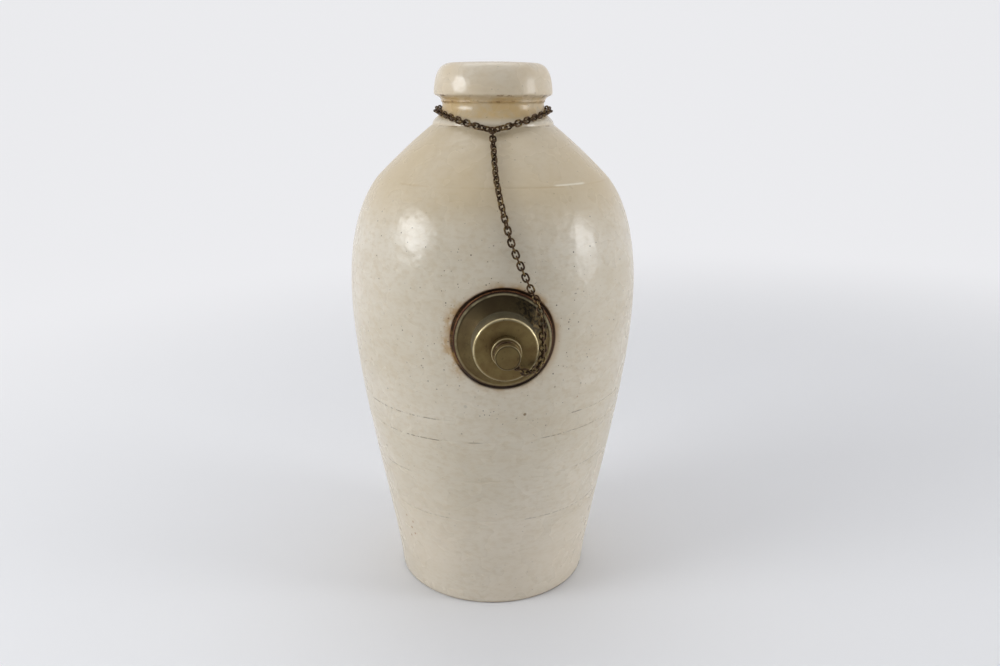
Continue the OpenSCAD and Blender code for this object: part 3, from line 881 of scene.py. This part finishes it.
def glazed_stoneware():
    """Cream glaze with stains, specks, painted shade and a painted highlight, glossy but for the dull gap
    and the bare clay of the foot.
    """
    f = Finish("glazed_stoneware", CREAM)
    z = f.axis("Z")
    azimuth = f.azimuth()
    grain = f.clouds(280, 2, 0.6, f.moved(scale=(1, 1, 1.8)))
    on_knob = f.between(z, *KNOB_FROM)
    front = f.between(f.axis("Y"), *FRONT_FROM)
    away = f.from_stopper()
    gap = f.times(f.fading(away, *GAP_REACH), front)
    specked = f.math("MULTIPLY_ADD", f.within(z, *SPECKED_BAND), 0.65, 0.35)
    small = f.times(f.dots(340, 0.13, 0.42), specked)
    glaze_tones(f, z, grain, on_knob)
    neck_stains_and_shade(f, z)
    stopper_rust_and_gap_shade(f, z, away, front, gap)
    mark_dirt_and_crease_highlight(f, z, azimuth)
    iron_specks(f, small, f.times(f.fading(away, *SPECKED_REACH), front))
    single_blots(f, z, azimuth, grain)
    f.tint(BARE_CLAY, f.fading(z, *CLAY_REACH), f.between(f.clouds(60, 4), 0.3, 0.6, 0.4, 0.8))
    bare = f.between(z, *DULL_REACH, CLAY_ROUGHNESS, 0.0)
    gloss = f.between(f.clouds(60, 2, 0.5), 0.3, 0.7, *GLAZE_ROUGHNESS)
    dull = f.math("MAXIMUM", bare, f.times(gap, GAP_ROUGHNESS))
    f.surface("Roughness", f.math("MAXIMUM", dull, f.math("MULTIPLY_ADD", small, SPECK_ROUGHNESS, gloss)))
    f.surface("Specular IOR Level", f.math("MULTIPLY_ADD", gap, -0.4, 0.5))
    f.surface("IOR", GLAZE_IOR)
    ripples = f.clouds(30, 2, 0.5, f.moved(scale=(1, 1, 5)))
    mottles = f.clouds(105, 2, 0.5)
    facing = f.within(f.math("ABSOLUTE", azimuth), *UNEVEN_SIDES)
    more = f.times(facing, f.between(z, *UNEVEN_FROM))
    uneven = f.math("MULTIPLY_ADD", more, UNEVEN_MORE, UNEVEN_LEAST)
    f.bump((ripples, 0.2, 0.0005), (mottles, uneven, 0.0012),
           (f.clouds(230, 2, 0.5), f.times(on_knob, 0.25), 0.0006),
           (f.math("SUBTRACT", 1.0, small), 0.15, 0.00008))
    return f.done()


# Places on the stopper in metres where a shade sets in, and where it is in full
SKIRT_FROM = ((HUB_R - 0.1) * MM, (HUB_R + 0.4) * MM)
DARK_LEFT_FROM = (0.0, -0.02)
DARK_TOP_FROM = (0.142, 0.178)
CORNER_RIGHT_FROM = (0.002, 0.010)
CORNER_TOP_FROM = (0.156, 0.164)
SHEEN_TOP_FROM = (0.140, 0.160)
# The hub's side, up to a height in millimetres, and the knob's face and the painted shadow line round it in
# metres
HUB_SIDE_TOP_H = 17.0
HUB_SIDE_SOFT = 0.0006
FACE_EDGE = (HEAD_R * MM, (HEAD_R + 0.2) * MM)
FACE_SOFT = 0.0008
FACE_SHADOW_LINE = ((HEAD_R - 0.45) * MM, 0.0005)
# Edges rubbed bright and carrying a painted highlight, as radius, height, width and share
RUBBED_AND_LIT_EDGES = ((FLANGE_R - 0.7, RIM_H, 0.75, 0.6), (HUB_R - 0.4, HUB_FACE_H - 0.4, 0.95, 1.0),
                (COLLAR_R - 0.1, GROOVE_H - 0.1, 0.6, 0.6), (HEAD_R - 0.1, HEAD_TOP_H - 0.1, 0.4, 0.35))


def over_seat(height):
    """Y in metres of a height over the stopper's seat in millimetres."""
    return (SEAT_Y - height) * MM


def rubbed_and_lit_edges(f, away, along):
    """Shares of brightness on the turned edges of the stopper."""
    edges = None
    for radius, height, width, share in RUBBED_AND_LIT_EDGES:
        at_height = f.near(along, over_seat(height), width * MM)
        ring = f.times(f.near(away, radius * MM, width * MM), at_height, share)
        edges = ring if edges is None else f.math("MAXIMUM", edges, ring)
    return edges


def tarnished_brass():
    """Olive brown brass with dark tarnish, painted shade and a painted reflection, and edges worn bright
    under a painted highlight.
    """
    f = Finish("tarnished_brass", srgb(122, 105, 67))
    brown = srgb(106, 87, 54)
    dark = srgb(46, 38, 26)
    black = srgb(22, 19, 15)
    painted_hub_sheen = srgb(130, 124, 104)
    bright = srgb(214, 200, 160)
    f.tint(brown, f.between(f.clouds(130, 5, 0.6), 0.36, 0.66))
    spots = f.clouds(420, 4, 0.65)
    f.tint(dark, f.between(spots, 0.56, 0.74), 0.45)
    away = f.from_stopper()
    across, along, up = (f.axis(name) for name in "XYZ")
    # The skirt has painted shade, darker towards its top and its left, with black tarnish at its upper right
    skirt = f.between(away, *SKIRT_FROM)
    top_shade = f.between(up, *DARK_TOP_FROM, 0.2, 0.8)
    f.tint(dark, skirt, f.math("MULTIPLY_ADD", f.between(across, *DARK_LEFT_FROM), 0.12, top_shade))
    tarnish = f.between(f.clouds(640, 4, 0.7), 0.42, 0.58)
    corner = f.times(f.between(across, *CORNER_RIGHT_FROM), f.between(up, *CORNER_TOP_FROM), skirt)
    f.tint(black, corner, tarnish, 0.85)
    # The hub's side is greyer and lighter, a painted reflection of the light from above
    hub_height = f.within(along, over_seat(HUB_SIDE_TOP_H), over_seat(HUB_FOOT_H), HUB_SIDE_SOFT)
    f.tint(painted_hub_sheen, f.near(away, HUB_R * MM, HUB_SIDE_SOFT), hub_height, 0.65)
    # The knob's face is a little darker, with a painted shadow line round it
    face = f.near(along, over_seat(HEAD_TOP_H), FACE_SOFT)
    f.tint(dark, f.fading(away, *FACE_EDGE), face, 0.16)
    f.tint(dark, f.near(away, *FACE_SHADOW_LINE), face, 0.7)
    # The edges are rubbed bright and carry a painted highlight, brighter towards the top
    upper = f.between(up, *SHEEN_TOP_FROM, 0.35, 1.0)
    wear_and_sheen = f.times(rubbed_and_lit_edges(f, away, along), upper, f.between(f.clouds(260, 3), 0.3, 0.6, 0.3, 0.8))
    f.tint(bright, wear_and_sheen)
    pits = f.dots(900, 0.22, 0.2)
    f.tint(dark, pits, 0.6)
    f.surface("Metallic", 0.9)
    rough = f.between(f.clouds(200, 4), 0.3, 0.7, 0.42, 0.58)
    f.surface("Roughness", f.math("SUBTRACT", rough, f.times(wear_and_sheen, 0.16)))
    turning = f.clouds(1.0, 2, 0.5, f.turning_place(5200))
    f.bump((turning, 0.12, 0.00006), (spots, 0.16, 0.00012), (f.math("SUBTRACT", 1.0, pits), 0.3, 0.00008))
    return f.done()


def dull_brass():
    f = Finish("dull_brass", srgb(176, 146, 84))
    brown = srgb(128, 100, 54)
    tarnish = srgb(70, 66, 46)
    patches = f.clouds(180, 5, 0.6)
    f.tint(brown, f.between(patches, 0.35, 0.65))
    spots = f.clouds(600, 4, 0.6)
    f.tint(tarnish, f.between(spots, 0.55, 0.7), 0.6)
    f.surface("Metallic", 1.0)
    f.surface("Roughness", f.between(patches, 0.3, 0.7, 0.3, 0.48))
    f.bump((f.clouds(1.0, 2, 0.5, f.turning_place(6000)), 0.1, 0.00005), (spots, 0.15, 0.0001))
    return f.done()


def red_rubber():
    """Perished dark red rubber, cracked, with rust at its upper edge."""
    f = Finish("red_rubber", srgb(72, 36, 27))
    darker = srgb(40, 24, 19)
    dusty = srgb(98, 64, 48)
    rusty = srgb(142, 98, 60)
    cracked = srgb(52, 28, 22)
    edge_from = (0.0227, 0.0231)
    patches = f.clouds(150, 5, 0.6)
    f.tint(darker, f.between(patches, 0.35, 0.65))
    dust = f.clouds(500, 4, 0.7)
    f.tint(dusty, f.between(dust, 0.5, 0.75), 0.2)
    f.tint(rusty, f.between(f.from_stopper(), *edge_from), f.between(f.axis("Z"), *RUST_FROM, 0.15, 0.75),
           f.between(patches, 0.3, 0.55, 0.3, 1.0))
    cracks = f.node("ShaderNodeTexVoronoi", feature="DISTANCE_TO_EDGE")
    f.put(cracks.inputs["Vector"], f.place)
    f.put(cracks.inputs["Scale"], 520.0)
    line = f.fading(cracks.outputs["Distance"], 0.0, 0.09)
    f.tint(cracked, line, 0.6)
    f.surface("Roughness", f.between(dust, 0.3, 0.7, 0.62, 0.85))
    f.surface("Specular IOR Level", 0.2)
    f.bump((dust, 0.3, 0.0002), (f.math("SUBTRACT", 1.0, line), 0.4, 0.00015))
    return f.done()


def chain_wire():
    """Dark brown wire with rust, worn to brass in places with painted glints there."""
    f = Finish("chain_wire", srgb(90, 70, 48))
    darker = srgb(58, 43, 30)
    rusty = srgb(84, 52, 32)
    worn_brass_glint = srgb(134, 114, 72)
    patches = f.clouds(240, 4, 0.6)
    f.tint(darker, f.between(patches, 0.36, 0.64))
    rust = f.clouds(700, 4, 0.65)
    f.tint(rusty, f.between(rust, 0.52, 0.7), 0.7)
    # Lighter patches: brass worn bare, and painted glints on it
    f.tint(worn_brass_glint, f.between(f.clouds(420, 2, 0.5, f.moved(location=(0.2, 0.3, 0.1))), 0.52, 0.64), 0.6)
    f.surface("Metallic", f.between(rust, 0.45, 0.65, 0.95, 0.45))
    f.surface("Roughness", f.between(patches, 0.3, 0.7, 0.34, 0.55))
    f.bump((rust, 0.35, 0.00012))
    return f.done()


def bush_cement():
    f = Finish("bush_cement", srgb(178, 170, 152))
    grain = f.clouds(900, 4, 0.7)
    f.tint(srgb(142, 132, 112), f.between(grain, 0.35, 0.65))
    f.surface("Roughness", f.between(grain, 0.3, 0.7, 0.8, 0.95))
    f.bump((grain, 0.5, 0.0002))
    return f.done()


glaze = glazed_stoneware()
brass_finish = tarnished_brass()
plain_brass = dull_brass()
rubber = red_rubber()
wire_finish = chain_wire()
cement_finish = bush_cement()


def dress(piece, finish, body, slot, *stands_for):
    """Gives a piece its finish and its body, and hides the solids that it stands for."""
    piece.data.materials.clear()
    piece.data.materials.append(finish)
    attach(piece, body)
    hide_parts(*stands_for)


dress(make_bottle(), glaze, "bottle", "glazed_stoneware", "stoneware_bottle")
dress(make_washer(), rubber, "washer", "red_rubber", "sealing_washer")
for name, outline, closed, steps, solid in (
        ("turned_flange", flange_outline(), True, BRASS_STEPS, "stopper_flange"),
        ("turned_hub", hub_outline(), True, BRASS_STEPS, "stopper_hub"),
        ("turned_knob", knob_outline(), False, KNOB_STEPS, "stopper_knob")):
    dress(turned_piece(name, outline, closed, steps), brass_finish, "stopper", "tarnished_brass", solid)

# The other solids are seen themselves
for name, node in nodes.items():
    if name in ("filler_bush", "stopper_screw", "stud_washer"):
        finish = plain_brass
    elif name == "bush_cement":
        finish = cement_finish
    elif "chain" in name or "ring" in name:
        finish = wire_finish
    else:
        continue
    node.data.materials.clear()
    node.data.materials.append(finish)


# Studio, in metres
PAPER = (0.79, 0.79, 0.80, 1)
PAPER_GRAIN = (0.82, 0.82, 0.83, 1)
PAPER_GLOW = (0.86, 0.862, 0.885, 1)
GLOW_CENTRE = (0.25, -0.1, 0)
GLOW_REACH = (0.3, 1.05)
GLOW_MOST = 0.92
PAPER_HALF_WIDTH = 12.0
PAPER_FRONT_Y = -12.0
PAPER_FLAT_END_Y = 0.4
PAPER_BEND_Y = 0.9
PAPER_BEND_R = 0.9
PAPER_TOP_Z = 4.0
PAPER_BEND_POINTS = 19
PAPER_SMOOTH = 60
LIGHT_TARGET = (0, 0, 0.17)
# Soft boxes, as name, direction from the belly, distance, width, height, power and colour
SOFT_BOXES = (("left_box", (-0.899, -0.30, 0.318), 1.25, 0.62, 0.48, 7.2, (0.95, 0.975, 1.0)),
              ("right_box", (0.926, -0.296, 0.195), 1.25, 0.38, 0.72, 5.1, (0.96, 0.98, 1.0)),
              ("top_box", (0.0, 0.45, 1.0), 1.6, 1.4, 1.0, 4.6, (1, 1, 1)))
# Surroundings: two levels along Y, and how bright they are up to the first and from the second on
WORLD_COLOUR = (0.96, 0.97, 1.0, 1)
WORLD_STEP = (-0.95, 0.2, 0.19, 0.9)
# Camera, as fitted to the photograph, with angles in degrees
LENS_MM = 28.8
SENSOR_MM = 36.0
CLIP_START = 0.01
CAMERA_AT = (-0.0275, -0.4242, 0.2675)
CAMERA_TILT = 72.95
CAMERA_TURN = -4.25
CAMERA_ROLL = 0.25


def sweep_finish():
    """Pale paper, lit by the studio near the object and an even pale tone seen far from it."""
    f = Finish("paper_sweep", PAPER)
    f.tint(PAPER_GRAIN, f.clouds(3, 2))
    f.surface("Roughness", 0.75)
    f.surface("Specular IOR Level", 0.2)
    rays = f.node("ShaderNodeLightPath")
    seen = f.math("ADD", rays.outputs["Is Camera Ray"], rays.outputs["Is Glossy Ray"], clamp=True)
    seen = f.math("ADD", seen, rays.outputs["Is Transmission Ray"], clamp=True)
    reach = f.node("ShaderNodeVectorMath", operation="LENGTH")
    f.put(reach.inputs[0], f.moved(location=[-c for c in GLOW_CENTRE]))
    share = f.times(seen, f.between(reach.outputs["Value"], *GLOW_REACH, 0.0, GLOW_MOST))
    glow = f.node("ShaderNodeEmission")
    f.put(glow.inputs["Color"], PAPER_GLOW)
    blend = f.node("ShaderNodeMixShader")
    for socket, value in zip(blend.inputs, (share, f.shader.outputs[0], glow.outputs[0])):
        f.put(socket, value)
    f.put(f.tree.nodes["Material Output"].inputs["Surface"], blend.outputs[0])
    return f.done()


def make_sweep():
    """A pale paper sweep: floor, curve and back in one sheet."""
    curve = [(PAPER_BEND_Y + PAPER_BEND_R * math.sin(a), PAPER_BEND_R * (1 - math.cos(a)))
             for a in np.radians(np.linspace(0, 90, PAPER_BEND_POINTS))]
    line = ([(PAPER_FRONT_Y, 0), (PAPER_FLAT_END_Y, 0)] + curve
            + [(PAPER_BEND_Y + PAPER_BEND_R, PAPER_TOP_Z)])
    bm = bmesh.new()
    edges = [e for e in outline_edges(bm, [(-PAPER_HALF_WIDTH, y, z) for y, z in line], False)
             if isinstance(e, bmesh.types.BMEdge)]
    grown = bmesh.ops.extrude_edge_only(bm, edges=edges)["geom"]
    far_side = [g for g in grown if isinstance(g, bmesh.types.BMVert)]
    bmesh.ops.translate(bm, verts=far_side, vec=(2 * PAPER_HALF_WIDTH, 0, 0))
    bmesh.ops.recalc_face_normals(bm, faces=bm.faces)
    if sum(f.normal.z for f in bm.faces) < 0:
        bmesh.ops.reverse_faces(bm, faces=bm.faces)
    sheet = finished(bm, "paper_sweep", PAPER_SMOOTH)
    sheet.data.materials.append(sweep_finish())


def soft_light(name, towards, distance, width, height, power, colour):
    """A soft box that faces the belly from a direction."""
    lamp = bpy.data.lights.new(name, "AREA")
    lamp.shape = "ELLIPSE"
    lamp.size = width
    lamp.size_y = height
    lamp.energy = power
    lamp.color = colour
    box = bpy.data.objects.new(name, lamp)
    target = Vector(LIGHT_TARGET)
    box.location = target + Vector(towards).normalized() * distance
    box.rotation_euler = (target - box.location).to_track_quat("-Z", "Y").to_euler()
    scene.collection.objects.link(box)


def studio_world():
    """Pale surroundings that are darker towards the camera."""
    world = bpy.data.worlds.new("studio")
    world.use_nodes = True
    tree = world.node_tree
    back = tree.nodes["Background"]
    place = tree.nodes.new("ShaderNodeTexCoord")
    parts = tree.nodes.new("ShaderNodeSeparateXYZ")
    tree.links.new(place.outputs["Generated"], parts.inputs[0])
    share = tree.nodes.new("ShaderNodeMapRange")
    share.interpolation_type = "SMOOTHSTEP"
    for socket, value in zip(list(share.inputs)[1:5], WORLD_STEP):
        socket.default_value = value
    tree.links.new(parts.outputs["Y"], share.inputs[0])
    tree.links.new(share.outputs[0], back.inputs["Strength"])
    back.inputs["Color"].default_value = WORLD_COLOUR
    scene.world = world


def place_camera():
    lens = bpy.data.cameras.new("camera")
    lens.lens = LENS_MM
    lens.sensor_width = SENSOR_MM
    lens.clip_start = CLIP_START
    camera = bpy.data.objects.new("camera", lens)
    tilt = Matrix.Rotation(math.radians(CAMERA_TILT), 4, "X")
    turn = Matrix.Rotation(math.radians(CAMERA_TURN), 4, "Z")
    roll = Matrix.Rotation(math.radians(CAMERA_ROLL), 4, "Z")
    camera.matrix_world = Matrix.Translation(CAMERA_AT) @ turn @ tilt @ roll
    scene.collection.objects.link(camera)
    scene.camera = camera


make_sweep()
for soft_box in SOFT_BOXES:
    soft_light(*soft_box)
studio_world()
place_camera()
scene.view_settings.view_transform = "Standard"
